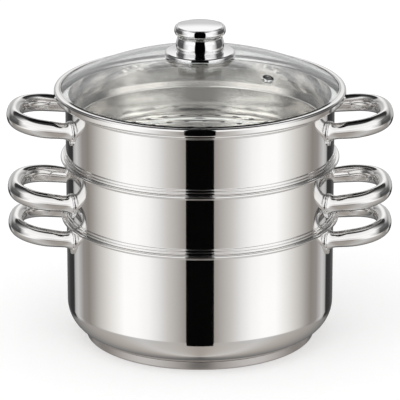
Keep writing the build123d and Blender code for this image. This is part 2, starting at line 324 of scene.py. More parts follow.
polished = steel("polished_steel", (0.92, 0.91, 0.90),
                 roughness=0.045, lines=1.2, line_height=0.000002, smudge=0.02)
satin = steel("satin_steel", (0.94, 0.915, 0.89),
              roughness=0.06, lines=2.5, line_height=0.000025, smudge=0.03)
mirror = steel("mirror_steel", (0.92, 0.92, 0.92),
               roughness=0.04, lines=0.3, line_height=0.0000005, smudge=0.015)
handle_steel = steel("handle_steel", (0.90, 0.89, 0.88),
                     roughness=0.08, lines=0.3, line_height=0.0000005, smudge=0.02)
plate_steel = steel("plate_steel", (0.93, 0.92, 0.90),
                    roughness=0.05, lines=1.5, line_height=0.000004, smudge=0.02)
# The basket's steel is the satin recipe made rougher, which is its real duller finish, and darker
# in tint, which is painted shade for its place inside the tiers.
rough_basket_steel_painted_shade = steel("rough_basket_steel_painted_shade", (0.84, 0.81, 0.775),
                     roughness=0.16, lines=2.5, line_height=0.000025, smudge=0.03)
base_steel = steel("base_steel", (0.62, 0.59, 0.57),
                   roughness=0.34, lines=1.5, line_height=0.00001, smudge=0.04)
print("steels:", [finish.name for finish in (polished, satin, mirror, handle_steel,
                                             plate_steel, rough_basket_steel_painted_shade, base_steel)])

# %% [markdown]
# The other finishes are the clear tempered glass of the lid, the aluminium disc shut in under the
# pot and the silicone seal under the knob. Clear glass is full transmission. The green of its edge
# comes from a tint so weak that only light that has passed several faces shows it.

# %% Glass, aluminium and silicone
DUST_BLUR = 0.004
GRAIN_SHADE, GRAIN_BLUR = 0.9, 0.1


def glass(name):
    """Clear tempered glass, with the slight unevenness of a pressed sheet."""
    material, board = new_material(name)
    place = board.add("TexCoord", out="Object")
    wave = board.add("TexNoise", None, {"Vector": place, "Scale": 9.0, "Detail": 1.0})
    bump = board.add("Bump", None, {"Height": wave, "Strength": 0.08, "Distance": 0.0004})
    dust = board.add("TexNoise", None, {"Vector": place, "Scale": 60.0, "Detail": 5.0})
    shader = board.add("BsdfPrincipled", None, {
        "Base Color": (0.975, 0.99, 0.985, 1),
        "Metallic": 0.0,
        "Roughness": DUST_BLUR * dust,
        "IOR": 1.5,
        "Transmission Weight": 1.0,
        "Normal": bump,
    })
    board.add("OutputMaterial", None, {"Surface": shader})
    return material


def plain(name, tint, metallic, roughness, grain):
    """A plain finish with this many fine grains to the metre."""
    material, board = new_material(name)
    place = board.add("TexCoord", out="Object")
    speckle = board.add("TexNoise", None, {"Vector": place, "Scale": grain, "Detail": 3.0})
    bump = board.add("Bump", None, {"Height": speckle, "Strength": 0.3, "Distance": 0.00005})
    shader = board.add("BsdfPrincipled", None, {
        "Base Color": mottled(board, speckle, tint, GRAIN_SHADE),
        "Metallic": metallic,
        "Roughness": roughness + GRAIN_BLUR * (speckle - MIDDLE),
        "Normal": bump,
    })
    board.add("OutputMaterial", None, {"Surface": shader})
    return material


clear_glass = glass("lid_glass")
aluminium = plain("base_aluminium", (0.76, 0.76, 0.77), metallic=1.0, roughness=0.35, grain=900.0)
silicone = plain("silicone", (0.85, 0.85, 0.84), metallic=0.0, roughness=0.45, grain=700.0)
print("other finishes:", clear_glass.name, aluminium.name, silicone.name)

# %% [markdown]
# A new piece takes the place of a plain CAD node: it gets its finish, rides on the same body, so
# that it lifts off with its vessel, and hides the node that it stands for. A node that keeps its
# CAD shape, because it is hidden or small, only gets a finish.

# %% Dress a piece


def dress(piece, body, replaced, slot, *materials):
    """The piece takes these materials and stands for CAD nodes on a body."""
    for material in materials:
        piece.data.materials.append(material)
    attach(piece, body)
    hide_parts(*replaced)


def refinish(node, material):
    """The CAD node keeps its shape and takes this material on every face."""
    mesh = nodes[node].data
    mesh.materials.clear()
    mesh.materials.append(material)
    for polygon in mesh.polygons:
        polygon.material_index = 0
    print(f"{node} keeps its CAD shape, in {material.name}")


print("CAD nodes to dress:", len(nodes))

# %% [markdown]
# The pot is deep-drawn from one sheet: a flat floor, a wide corner and a straight wall. Its rim
# is rolled outwards, so that from the front it shows a round lip with a shadow under it and a
# narrower shoulder below. One outline holds the outside, the rim and the inside.

# %% The pot
SHOULDER = 2.2
LIP_DEPTH = 2.8
INSIDE_SLACK = 0.35
CORNER_STEPS = 12


def rim(top):
    """Corners of a rolled rim, from the outside wall over the lip to the inside wall."""
    return [
        (WALL, top - RIM_DEPTH, 0.5),
        (WALL + SHOULDER, top - RIM_DEPTH, 0.9),
        (WALL + SHOULDER, top - LIP_DEPTH, 0.3),
        (RIM_OUT, top - LIP_DEPTH, 1.2),
        (RIM_OUT, top, 1.3),
        (INNER, top, 1.2),
    ]


def inside(across):
    """True for the faces of the inside wall and floor."""
    return across < INNER + INSIDE_SLACK


pot = turned("pot_shell", rounded([
    (0, FLOOR, 0),
    (WALL, FLOOR, CORNER),
    *rim(POT_HEIGHT),
    (INNER, FLOOR + SHEET, CORNER - SHEET),
    (0, FLOOR + SHEET, 0),
], steps=CORNER_STEPS), second=inside)
dress(pot, "pot", ["pot_body"], "polished_steel", polished, satin)

# %% [markdown]
# Under the floor sits a disc of aluminium in a pressed steel cap. The cap shows as a low step
# below the wide corner of the pot, with a round lower edge.

# %% The capsule base
CAP_OUT = 118.7
CAP_TOP = 8.6
CAP_SHEET = 0.8
cap = turned("base_cap", rounded([
    (0, 0, 0),
    (CAP_OUT, 0, 1.6),
    (CAP_OUT, CAP_TOP, 0.25),
    (CAP_OUT - CAP_SHEET, CAP_TOP, 0.25),
    (CAP_OUT - CAP_SHEET, CAP_SHEET, 1.4),
    (0, CAP_SHEET, 0),
]))
dress(cap, "pot", ["pot_base_cap"], "satin_steel", base_steel)
refinish("pot_base_core", aluminium)

# %% [markdown]
# A tier stands on the rim below it with a bead, and a skirt inside the bead keeps it centred. The
# bead is a small step on the real ring too: a round edge, a groove and then the wall.

# %% The rings of the two tiers
SKIRT_DROP = 11.0
BEAD_OUT, BEAD_TOP = 2.4, 3.0
GROOVE_OUT, GROOVE_TOP = 1.1, 5.6
JOGGLE_TOP = 2.5
for tier in ("middle", "top"):
    top = RIMS[tier]
    seat = top - TIER_HEIGHT
    ring = turned(f"{tier}_tier_ring", rounded([
        (SKIRT - SHEET, seat - SKIRT_DROP, 0.3),
        (SKIRT, seat - SKIRT_DROP, 0.3),
        (SKIRT, seat, 0.2),
        (WALL + BEAD_OUT, seat, 1.1),
        (WALL + BEAD_OUT, seat + BEAD_TOP, 1.1),
        (WALL + GROOVE_OUT, seat + BEAD_TOP, 0.25),
        (WALL + GROOVE_OUT, seat + GROOVE_TOP, 0.9),
        (WALL, seat + GROOVE_TOP, 0.4),
        *rim(top),
        (INNER, seat + JOGGLE_TOP, 1.0),
        (SKIRT - SHEET, seat + SHEET, 0.6),
    ]), second=inside)
    dress(ring, BODIES[tier], [f"{tier}_ring"], "polished_steel", polished, satin)

# %% [markdown]
# Inside each ring hangs a basket. It has a ledge that meets the wall, a straight side and a lip
# that carries the perforated plate. Pieces that meet are drawn a hair apart here and below, so
# that their faces don't lie in one another.

# %% The basket walls
HAIR = 0.05
LEDGE_DROP = 27.0
FLOOR_DROP = 54.8
BASKET = INNER - 11.0
LIP_REACH = 7.0
PLATE_SHEET = 0.8
for tier in ("middle", "top"):
    ledge = RIMS[tier] - LEDGE_DROP
    floor = RIMS[tier] - FLOOR_DROP - PLATE_SHEET
    basket = turned(f"{tier}_basket_side", rounded([
        (BASKET, ledge, 1.6),
        (BASKET, floor, 0.2),
        (BASKET - LIP_REACH, floor, 0.3),
        (BASKET - LIP_REACH, floor - SHEET, 0.3),
        (BASKET + SHEET, floor - SHEET, 1.2),
        (BASKET + SHEET, ledge - SHEET, 0.7),
        (INNER - HAIR, ledge - SHEET, 0),
        (INNER - HAIR, ledge, 0),
    ]))
    # The basket wall takes the rougher steel whose darker tint is painted shade.
    dress(basket, BODIES[tier], [f"{tier}_basket_wall"], "satin_steel", rough_basket_steel_painted_shade)

# %% [markdown]
# The plate is punched with rings of round holes. A flat curve with circles inside it fills to
# exactly that, and a very small bevel gives each hole the soft edge that a punch leaves. Circles
# could be cut out with booleans, but a hundred of them are slow and leave ragged faces.

# %% The perforated plates
HOLE = 2.9
HOLE_RINGS = 5
FIRST_RING = 17.0
RING_PITCH = 21.0
HOLE_PITCH = 19.0
PUNCHED_EDGE = 0.15
MERGE_DISTANCE = 0.01
RIM_STEPS, HOLE_STEPS = 24, 6
ROUND_PULL = 0.5523
AXIS = Vector((0, 0, 0))


def circle(curve, centre, radius):
    """Adds one round Bezier loop to the curve."""
    loop = curve.splines.new("BEZIER")
    loop.bezier_points.add(3)
    loop.use_cyclic_u = True
    pull = ROUND_PULL * radius
    for number, point in enumerate(loop.bezier_points):
        angle = number * math.pi / 2
        out = Vector((math.cos(angle), math.sin(angle), 0))
        along = Vector((-math.sin(angle), math.cos(angle), 0))
        point.co = (centre + out * radius) * MM
        point.handle_left = (centre + out * radius - along * pull) * MM
        point.handle_right = (centre + out * radius + along * pull) * MM


def plate_curve(name, radius):
    """The plate's edge and its holes, in rings, as one filled curve."""
    curve = bpy.data.curves.new(name, "CURVE")
    curve.dimensions, curve.fill_mode, curve.resolution_u = "2D", "BOTH", RIM_STEPS
    circle(curve, AXIS, radius)
    for ring_number in range(HOLE_RINGS):
        ring_radius = radius - FIRST_RING - RING_PITCH * ring_number
        count = int(2 * math.pi * ring_radius / HOLE_PITCH)
        for hole in range(count):
            angle = 2 * math.pi * hole / count
            circle(curve, Vector((math.cos(angle), math.sin(angle), 0)) * ring_radius, HOLE)
    circle(curve, AXIS, HOLE)
    for loop in curve.splines:
        loop.resolution_u = RIM_STEPS if loop is curve.splines[0] else HOLE_STEPS
    curve.extrude = (PLATE_SHEET / 2 - PUNCHED_EDGE) * MM
    curve.bevel_depth, curve.bevel_resolution = PUNCHED_EDGE * MM, 1
    curve.offset = -PUNCHED_EDGE * MM
    print(f"{name}: {len(curve.splines) - 1} holes")
    return curve


def evaluated_mesh(thing):
    """A new mesh of the object as its modifiers or its bevel leave it."""
    bpy.context.view_layer.update()
    depsgraph = bpy.context.evaluated_depsgraph_get()
    return bpy.data.meshes.new_from_object(thing.evaluated_get(depsgraph))


def perforated(name, radius, height):
    """The plate with its holes as one mesh at this height."""
    draft = placed(name, plate_curve(name, radius))
    mesh = evaluated_mesh(draft)
    bpy.data.objects.remove(draft)
    mesh.name = name
    mesh.transform(Matrix.Translation((0, 0, height * MM)))
    form = bmesh.new()
    form.from_mesh(mesh)
    bmesh.ops.remove_doubles(form, verts=form.verts, dist=MERGE_DISTANCE * MM)
    form.to_mesh(mesh)
    form.free()
    return finish_mesh(name, mesh)


for tier in ("middle", "top"):
    floor = RIMS[tier] - FLOOR_DROP - PLATE_SHEET
    plate = perforated(f"{tier}_perforated_plate", BASKET - HAIR, floor + PLATE_SHEET / 2)
    dress(plate, BODIES[tier], [f"{tier}_steam_plate"], "satin_steel", plate_steel)

# %% [markdown]
# A pressed rib round the plate keeps it from bending. It is a low round ring on the plate.

# %% The ribs of the plates
RIB = BASKET - 28.05
RIB_FOOT, RIB_CREST = 2.5, 1.2
RIB_HEIGHT = 1.15
RIB_SUNK = 0.2
for tier in ("middle", "top"):
    face = RIMS[tier] - FLOOR_DROP
    rib = turned(f"{tier}_plate_rib", rounded([
        (RIB - RIB_FOOT, face - RIB_SUNK, 0),
        (RIB + RIB_FOOT, face - RIB_SUNK, 0),
        (RIB + RIB_FOOT, face + HAIR, 0.1),
        (RIB + RIB_CREST, face + RIB_HEIGHT, 0.9),
        (RIB - RIB_CREST, face + RIB_HEIGHT, 0.9),
        (RIB - RIB_FOOT, face + HAIR, 0.1),
    ]))
    rib.data.materials.append(plate_steel)
    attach(rib, BODIES[tier])

# %% [markdown]
# Each handle is one loop of polished tube. A bent tube has no arcs with exact ends: it runs
# softly from leg to grip. So the route starts from straight runs and arcs, and then every point
# is drawn towards its neighbours many times over. At the end the loop is stretched a little to
# reach as far out as it did before.

# %% The route of a handle
FOOT_SPREAD = 46.0
CORNER_SPREAD = 52.0
GRIP_OUT = 190.4
GRIP_RISE = 6.5
BEND = 38.0
BEND_SHARE = 0.7
BEND_STEPS = 24
ROUTE_STEP = 2.6
SOFTENING = 90
FOOT_STEPS = (0, 0.4, 0.8, 1.2, 1.6, 2.1)
FOOT_X = math.sqrt(WALL ** 2 - FOOT_SPREAD ** 2)
LEAN = math.atan2(GRIP_RISE, GRIP_OUT - FOOT_X)
REACH = (GRIP_OUT - FOOT_X) / math.cos(LEAN)


def spread(points, gap):
    """The same open line with points no further apart than gap."""
    line = [points[0]]
    for start, end in zip(points, points[1:]):
        count = max(1, math.ceil((end - start).length / gap))
        line += [start.lerp(end, step / count) for step in range(1, count + 1)]
    return line


def softened(points, passes):
    """The line with its points drawn towards their neighbours, and its ends held."""
    for _ in range(passes):
        middle = [(before + 2 * point + after) / 4
                  for before, point, after in zip(points, points[1:], points[2:])]
        points = [points[0], *middle, points[-1]]
    return points


def handle_route():
    """Points of the loop in its own plane, with finer steps at the feet."""
    bends = rounded([(0, -FOOT_SPREAD, 0), (REACH, -CORNER_SPREAD, BEND),
                     (REACH, CORNER_SPREAD, BEND), (0, FOOT_SPREAD, 0)],
                    steps=BEND_STEPS, most=BEND_SHARE)
    route = softened(spread(bends, ROUTE_STEP), SOFTENING)
    stretch = REACH / max(point.x for point in route)
    route = [Vector((point.x * stretch, point.y)) for point in route]
    leg = (route[1] - route[0]).normalized()
    fine = [route[0] + leg * share for share in FOOT_STEPS]
    far = [Vector((point.x, -point.y)) for point in reversed(fine)]
    return fine + route[1:-1] + far


route = handle_route()
print("route points:", len(route), "reach, mm:", round(REACH, 1))

# %% [markdown]
# The bar is a tube pressed slightly oval. It is slimmer at its feet than at its grip and grows
# over the first half of each leg, which gives the loop its soft, blown look. Its ends are cut to
# the round wall, and each flares a little where it is welded to its plate. A curve with a bevel
# can't do the cut or the flare, so the loop is swept in mesh code: a ring of vertices at each
# point of the route, and near the wall each vertex slides along the bar until it meets the
# plate. The feet sit at a different drop below the rim on each vessel.

# %% Sweep the handles
BAR_SIDES = 32
BAR_WIDE, BAR_TALL = 7.9, 9.3
FOOT_WIDE, FOOT_TALL = 7.3, 7.9
GROWTH = 30.0
FLARE, FLARE_RUN = 2.8, 3.2
PLATE_FACE = WALL + 2.6
SLIDE = 12.0
FOOT_DROPS = {"pot": 15.8, "middle": 40.0, "top": 25.3}


def wrapped(first, rows, around):
    """Faces of a closed skin over rows of vertices, with this many around each row."""
    last = first + (rows - 1) * around
    faces = []
    for row in range(first, last, around):
        for number in range(around):
            after = (number + 1) % around
            faces.append((row + number, row + after,
                          row + around + after, row + around + number))
    return faces + [tuple(range(first, first + around)), tuple(range(last, last + around))]


def cut_to_plate(corner, inward, from_foot):
    """The corner slid along the bar, all the way to the weld plate's round face at the foot."""
    base = corner + inward * from_foot
    flat = Vector((inward.x, inward.y))
    along = Vector((base.x, base.y)).dot(flat) / flat.length_squared
    gap = (Vector((base.x, base.y)).length_squared - PLATE_FACE ** 2) / flat.length_squared
    slide = -along - math.sqrt(max(0, along * along - gap))
    return corner + inward * slide * (1 - from_foot / SLIDE)


def swept_handle(name, way, foot_z):
    """One handle on the side way (-1 left, 1 right), with its feet at this height."""
    origin = Vector((way * FOOT_X, 0, foot_z))
    out = Vector((way * math.cos(LEAN), 0, math.sin(LEAN)))
    over = Vector((-way * math.sin(LEAN), 0, math.cos(LEAN)))
    lengths = [0.0]
    for start, end in zip(route, route[1:]):
        lengths.append(lengths[-1] + (end - start).length)
    verts = []
    for place, point in enumerate(route):
        ahead = route[min(place + 1, len(route) - 1)] - route[max(place - 1, 0)]
        ahead.normalize()
        tangent = out * ahead.x + Vector((0, ahead.y, 0))
        side = out * -ahead.y + Vector((0, ahead.x, 0))
        centre = origin + out * point.x + Vector((0, point.y, 0))
        from_foot = min(lengths[place], lengths[-1] - lengths[place])
        share = min(1, from_foot / GROWTH)
        grown = share * share * (3 - 2 * share)
        flare = FLARE * math.exp(-from_foot / FLARE_RUN)
        wide = FOOT_WIDE + (BAR_WIDE - FOOT_WIDE) * grown + flare
        tall = FOOT_TALL + (BAR_TALL - FOOT_TALL) * grown + flare
        inward = -tangent if place < len(route) / 2 else tangent
        for number in range(BAR_SIDES):
            angle = 2 * math.pi * number / BAR_SIDES
            corner = centre + side * math.cos(angle) * wide + over * math.sin(angle) * tall
            if from_foot < SLIDE:
                corner = cut_to_plate(corner, inward, from_foot)
            verts.append(corner * MM)
    mesh = bpy.data.meshes.new(name)
    mesh.from_pydata(verts, [], wrapped(0, len(route), BAR_SIDES))
    return finish_mesh(name, mesh)


for vessel, top in RIMS.items():
    for side, way in (("left", -1), ("right", 1)):
        bar = swept_handle(f"{vessel}_loop_{side}", way, top - FOOT_DROPS[vessel])
        dress(bar, BODIES[vessel], [f"{vessel}_handle_{side}"], "mirror_steel", handle_steel)
print("handles:", 2 * len(RIMS))

# %% [markdown]
# The weld plates are small leaves, round at the foot of the bar and narrower below it. They are
# pressed, so they swell in the middle and thin out to a round edge, and small dents show where
# the spot welder gripped them. Each is a stack of ever smaller outlines, laid round the wall, and
# its top is cut level where it would meet the rim.

# %% The weld plates
LEAF = 11.1
LEAF_TIP = 4.0
LEAF_TIP_DROP = 11.0
LEAF_SIDES = 72
LEAF_STEP = 1.2
LEAF_HEART = 3
LEAF_SWELL = 3.3
LEAF_EDGE = 1.3
LEAF_FULLNESS = 5
LEAF_SUNK = -0.3
LEAF_SHARES = (1.0, 1.0, 0.985, 0.96, 0.92, 0.87, 0.81, 0.74, 0.66, 0.57, 0.47, 0.36, 0.24, 0.12)
DENTS = ((0.74, -0.1), (0.74, -0.52))
DENT_DEPTH, DENT_RADIUS = 0.9, 2.1


def leaf_outline():
    """Points round the leaf, which is the hull of a large and a small circle."""
    edge = []
    for number in range(LEAF_SIDES):
        angle = 2 * math.pi * number / LEAF_SIDES
        normal = Vector((math.cos(angle), math.sin(angle)))
        tip = LEAF_TIP - LEAF_TIP_DROP * normal.y > LEAF
        edge.append(normal * LEAF_TIP - Vector((0, LEAF_TIP_DROP)) if tip else normal * LEAF)
    return spread(edge + edge[:1], LEAF_STEP)[:-1]


def leaf_swell(across, up, share, hand):
    """How far the leaf stands off the wall here, with its dents on one hand (-1 or 1)."""
    swell = LEAF_EDGE + (LEAF_SWELL - LEAF_EDGE) * math.sqrt(1 - share ** LEAF_FULLNESS)
    for dent_across, dent_up in DENTS:
        away = (Vector((across, up)) - Vector((hand * dent_across, dent_up)) * LEAF).length
        swell -= DENT_DEPTH * max(0, 1 - (away / DENT_RADIUS) ** 2)
    return swell


def leaf(name, way, vessel):
    """The two plates of one handle as one mesh."""
    foot_z = RIMS[vessel] - FOOT_DROPS[vessel]
    ceiling = FOOT_DROPS[vessel] - RIM_DEPTH - HAIR
    edge = leaf_outline()
    verts, faces = [], []
    for foot in (-1, 1):
        bearing = math.atan2(foot * FOOT_SPREAD, way * FOOT_X)
        faces += wrapped(len(verts), len(LEAF_SHARES), len(edge))
        for level, share in enumerate(LEAF_SHARES):
            for point in edge:
                across, up = point.x * share, (point.y + LEAF_HEART) * share - LEAF_HEART
                swell = leaf_swell(across, up, share, foot * way) if level else LEAF_SUNK
                angle = bearing + across / WALL
                radius = WALL + swell
                verts.append(Vector((radius * math.cos(angle), radius * math.sin(angle),
                                     foot_z + min(up, ceiling))) * MM)
    mesh = bpy.data.meshes.new(name)
    mesh.from_pydata(verts, [], faces)
    return finish_mesh(name, mesh)


for vessel in RIMS:
    for side, way in (("left", -1), ("right", 1)):
        plates = leaf(f"{vessel}_leaves_{side}", way, vessel)
        dress(plates, BODIES[vessel], [f"{vessel}_handle_{side}_plates"], "polished_steel", mirror)
print("weld plates:", 4 * len(RIMS))

# %% [markdown]
# The lid is a shallow dome of clear glass. Its outline is two arcs about one centre far below
# the lid, 4 mm apart. Thin walls between two parallel faces are what make glass look like a
# sheet and not like a lens. A hole for the steam vent is cut through it with one boolean.

# %% The glass dome
DOME = 305.0
GLASS = 4.0
GLASS_OUT = 146.8
BAND_STEP = 1.2
GLASS_SEAT = LID_SEAT + BAND_STEP + SHEET
DOME_CENTRE = GLASS_SEAT - math.sqrt((DOME - GLASS) ** 2 - GLASS_OUT ** 2)
KNOB_BORE = 4.5
DOME_STEPS = 48
VENT_OUT = 85.0
VENT_BEARING = math.radians(-36.3)
VENT_BORE = 4.1
CUTTER_FOOT, CUTTER_TOP = -8, 4
CUTTER_TURNS = 48


def over_dome(across):
    """Height of the glass's upper face."""
    return DOME_CENTRE + math.sqrt(DOME ** 2 - across ** 2)


def under_dome(across):
    """Height of the glass's lower face."""
    return DOME_CENTRE + math.sqrt((DOME - GLASS) ** 2 - across ** 2)


VENT_TILT = math.atan2(VENT_OUT, over_dome(VENT_OUT) - DOME_CENTRE)
vent_turn = Matrix.Rotation(VENT_BEARING, 4, "Z") @ Matrix.Rotation(VENT_TILT, 4, "Y")
vent_frame = (Matrix.Translation((0, 0, DOME_CENTRE * MM)) @ vent_turn
              @ Matrix.Translation((0, 0, DOME * MM)))

stations = [KNOB_BORE + (GLASS_OUT - KNOB_BORE) * step / DOME_STEPS
            for step in range(DOME_STEPS + 1)]
upper_face = [Vector((across, over_dome(across))) for across in stations]
lower_face = [Vector((across, under_dome(across))) for across in reversed(stations)]
dome = turned("glass_dome", upper_face + lower_face, turns=FINE_TURNS)
cutter = turned("vent_cutter", [
    Vector((0, CUTTER_FOOT)), Vector((VENT_BORE, CUTTER_FOOT)),
    Vector((VENT_BORE, CUTTER_TOP)), Vector((0, CUTTER_TOP)),
], turns=CUTTER_TURNS)
cutter.matrix_world = vent_frame
bpy.context.view_layer.update()
cut = dome.modifiers.new("vent", "BOOLEAN")
cut.operation, cut.solver, cut.object = "DIFFERENCE", "EXACT", cutter
cut_mesh = evaluated_mesh(dome)
dome.modifiers.clear()
dome.data = cut_mesh
bpy.data.objects.remove(cutter)
dome.data.set_sharp_from_angle(angle=CRISP)
dress(dome, "lid", ["lid_glass"], "lid_glass", clear_glass)
print("glass faces:", len(dome.data.polygons))

# %% [markdown]
# A band of steel is rolled round the edge of the glass. It grips the glass from above with a
# thin lip, rests on the top tier's rim and centres itself with a skirt. The steam vent is a small
# grommet, drawn upright like the rest and then laid on the slope of the glass.

# %% The band and the steam vent
BAND_OUT = 149.5
BAND_TOP = LID_SEAT + 9.1
BAND_SEAT_OUT, BAND_SEAT_IN = 144.2, 143.3
BAND_SKIRT = SKIRT - 1.8
BAND_SKIRT_DROP = 8.0
BAND_LIP = GLASS_OUT - 4.3
BAND_CHANNEL = BAND_OUT - 2.65
band = turned("glass_band", rounded([
    (BAND_SKIRT, LID_SEAT - BAND_SKIRT_DROP, 0.2),
    (SKIRT, LID_SEAT - BAND_SKIRT_DROP, 0.3),
    (SKIRT, LID_SEAT, 0.2),
    (BAND_SEAT_OUT, LID_SEAT, 0.5),
    (BAND_SEAT_OUT, LID_SEAT + BAND_STEP, 0.25),
    (BAND_OUT, LID_SEAT + BAND_STEP, 1.6),
    (BAND_OUT, BAND_TOP, 3.6),
    (BAND_OUT - 5.0, BAND_TOP - 0.2, 1.0),
    (BAND_LIP, over_dome(BAND_LIP) + SHEET, 0.4),
    (BAND_LIP, over_dome(BAND_LIP) + HAIR, 0),
    (BAND_CHANNEL, over_dome(BAND_CHANNEL) + HAIR, 0),
    (BAND_CHANNEL, GLASS_SEAT, 0),
    (BAND_SEAT_IN, GLASS_SEAT, 0),
    (BAND_SEAT_IN, LID_SEAT + SHEET, 0.2),
    (BAND_SKIRT, LID_SEAT + SHEET, 0.3),
]), turns=FINE_TURNS)
dress(band, "lid", ["lid_rim_band"], "polished_steel", polished)

VENT_HOLE, VENT_NECK, VENT_LIP = 2.6, 4.0, 6.0
VENT_FOOT, VENT_UNDER, VENT_TOP = -5.3, -4.1, 1.2
vent = turned("steam_vent", rounded([
    (VENT_HOLE, VENT_FOOT, 0.3),
    (VENT_LIP, VENT_FOOT, 0.4),
    (VENT_LIP, VENT_UNDER, 0.2),
    (VENT_NECK, VENT_UNDER, 0.1),
    (VENT_NECK, 0.0, 0.1),
    (VENT_LIP, 0.0, 0.3),
    (VENT_LIP, VENT_TOP, 0.8),
    (VENT_HOLE, VENT_TOP, 0.5),
]), turns=SMALL_TURNS)
vent.data.transform(vent_frame)
dress(vent, "lid", ["steam_vent_eyelet"], "polished_steel", mirror)

# %% [markdown]
# The knob is hollow steel on a wide round flange. Its side is one smooth line with a waist half
# way up and a bulge over it, so the outline runs through a few points as a soft curve instead of
# rounded corners. A slightly domed cap is let into its top, and the underside of the flange
# follows the glass.

# %% The knob
FLANGE = 36.0
FLANGE_SEAT = over_dome(FLANGE) + HAIR
FLANGE_BORE = 2.7
FLANGE_UNDER = (FLANGE, 30.0, 22.0, 14.0, 8.0, FLANGE_BORE)
KNOB_FOOT = FLANGE_SEAT + 5.4
KNOB_TOP = KNOB_FOOT + 26.0
KNOB_CAVITY = 21.5
GRIP_SIDE = ((23.4, 0.0), (24.2, 1.2), (24.6, 3.4), (24.5, 7.5), (23.9, 11.0), (22.9, 14.0),
             (23.3, 15.6), (25.2, 17.6), (26.2, 20.0), (26.2, 22.4), (25.7, 24.6), (24.8, 25.8))
CAP_RADIUS = 23.2
CAP_DEPTH = 1.6
CROWN = 0.9
CROWN_STEPS = 12


def soft_line(points, steps=8):
    """A smooth line through the points."""
    line = []
    ends = [2 * points[0] - points[1], *points, 2 * points[-1] - points[-2]]
    for before, start, end, after in zip(ends, ends[1:], ends[2:], ends[3:]):
        for step in range(steps):
            t = step / steps
            line.append(0.5 * (2 * start + (end - before) * t
                               + (2 * before - 5 * start + 4 * end - after) * t ** 2
                               + (3 * start - before - 3 * end + after) * t ** 3))
    return line + [points[-1]]


grip_side = soft_line([Vector((across, KNOB_FOOT + up)) for across, up in GRIP_SIDE])
grip = turned("knob_grip", grip_side + rounded([
    (24.3, KNOB_TOP + 0.05, 0.25),
    (23.3, KNOB_TOP, 0.25),
    (23.25, KNOB_TOP - CAP_DEPTH, 0),
    (KNOB_CAVITY, KNOB_TOP - CAP_DEPTH, 0),
    (KNOB_CAVITY, KNOB_FOOT, 0),
]), turns=KNOB_TURNS)
dress(grip, "lid", ["knob_body"], "mirror_steel", mirror)

crown = [Vector((CAP_RADIUS * step / CROWN_STEPS,
                 KNOB_TOP + CROWN * (1 - (step / CROWN_STEPS) ** 2)))
         for step in range(CROWN_STEPS)]
cap_edge = [Vector((23.0, KNOB_TOP)), Vector((CAP_RADIUS, KNOB_TOP - 0.3)),
            Vector((CAP_RADIUS, KNOB_TOP - CAP_DEPTH)), Vector((0, KNOB_TOP - CAP_DEPTH))]
cap_disc = turned("knob_top_cap", crown + cap_edge, turns=KNOB_TURNS)
dress(cap_disc, "lid", ["knob_cap"], "mirror_steel", mirror)

under_flange = [Vector((across, over_dome(across) + HAIR)) for across in FLANGE_UNDER]
flange = turned("knob_base_flange", under_flange + rounded([
    (FLANGE_BORE, KNOB_FOOT, 0),
    (24.0, KNOB_FOOT, 0),
    (25.0, KNOB_FOOT - 0.3, 0.6),
    (34.4, KNOB_FOOT - 0.6, 1.0),
    (35.9, KNOB_FOOT - 1.4, 1.2),
    (35.9, FLANGE_SEAT + 0.3, 0.9),
]), turns=KNOB_TURNS)
dress(flange, "lid", ["knob_flange"], "mirror_steel", mirror)

# %% [markdown]
# Under the glass a screw holds the knob, through a steel washer and a silicone seal, and runs in
# a boss inside the grip. They are hidden or nearly so, and their CAD shapes are right, so they
# only need a finish.

# %% The knob's fastening
for node in ("knob_insert", "knob_washer", "knob_screw"):
    refinish(node, base_steel)
refinish("knob_seal", silicone)

# %% [markdown]
# Polished steel has no look of its own: it shows the room. A studio for it is a set of white
# walls with black cards between them, and here the world is that studio. It could be a model of
# a room with lamps in it, but a few colour ramps do the same and can be tuned one by one. All
# ramps but one run from in front of the set, at 0, past its sides, at 0.5, to behind it, at 1.
# The room is the same on the left and on the right.

# %% Directions in the studio
world = bpy.data.worlds.new("studio")
bpy.context.scene.world = world
world.use_nodes = True
studio = Board(world.node_tree)
direction = studio.add("TexCoord", out="Generated")
to_x, to_y, to_z = studio.split(direction)
bearing = to_x.maths("ARCTAN2", to_x, to_y * -1.0)
aside = bearing.maths("ABSOLUTE", bearing) / math.pi
height = to_z.maths("ARCSINE", to_z) / math.pi + 0.5


def strip(stops, along):
    """A part of the room, painted with these stops along one of its directions."""
    return studio.add("ValToRGB", {"stops": stops}, {0: along})


def lit(colour, strength):
    """The colour as bright as this strength makes it."""
    return studio.add("VectorMath", {"operation": "SCALE"}, {0: colour, "Scale": strength})


print("directions: from front to back and from nadir to zenith, each from 0 to 1")

# %% [markdown]
# Seen from a little above, upright walls mirror what lies below the horizon: warm grey cards in
# front, white walls beside them, grey past the sides and black towards the back, which draws the
# dark line down each edge of a vessel. The round lower corner of the pot and the undersides of
# the handles mirror the ground. The horizon, and the edge of the backdrop over it, show where a
# surface just begins to turn upwards.

# %% The studio below and at the horizon
ground = strip([
    (0.0, (0.34, 0.31, 0.29)), (0.12, (0.45, 0.43, 0.41)), (0.3, 0.55),
    (0.45, (0.44, 0.42, 0.40)), (0.6, (0.36, 0.34, 0.32)), (0.85, 0.2), (1.0, 0.1)], aside)
cards = strip([
    (0.0, (0.29, 0.26, 0.24)), (0.06, (0.29, 0.265, 0.245)), (0.10, (0.41, 0.39, 0.37)),
    (0.15, (0.56, 0.54, 0.52)), (0.20, 0.76), (0.25, 0.92), (0.31, 1.0), (0.38, 1.0),
    (0.45, (0.80, 0.79, 0.77)), (0.53, (0.54, 0.52, 0.50)), (0.58, (0.36, 0.34, 0.32)),
    (0.62, (0.25, 0.23, 0.21)), (0.67, (0.28, 0.26, 0.25)), (0.73, 0.55), (0.765, 0.45),
    (0.785, 0.03), (0.85, 0.04), (0.93, 0.12), (1.0, 0.08)], aside)
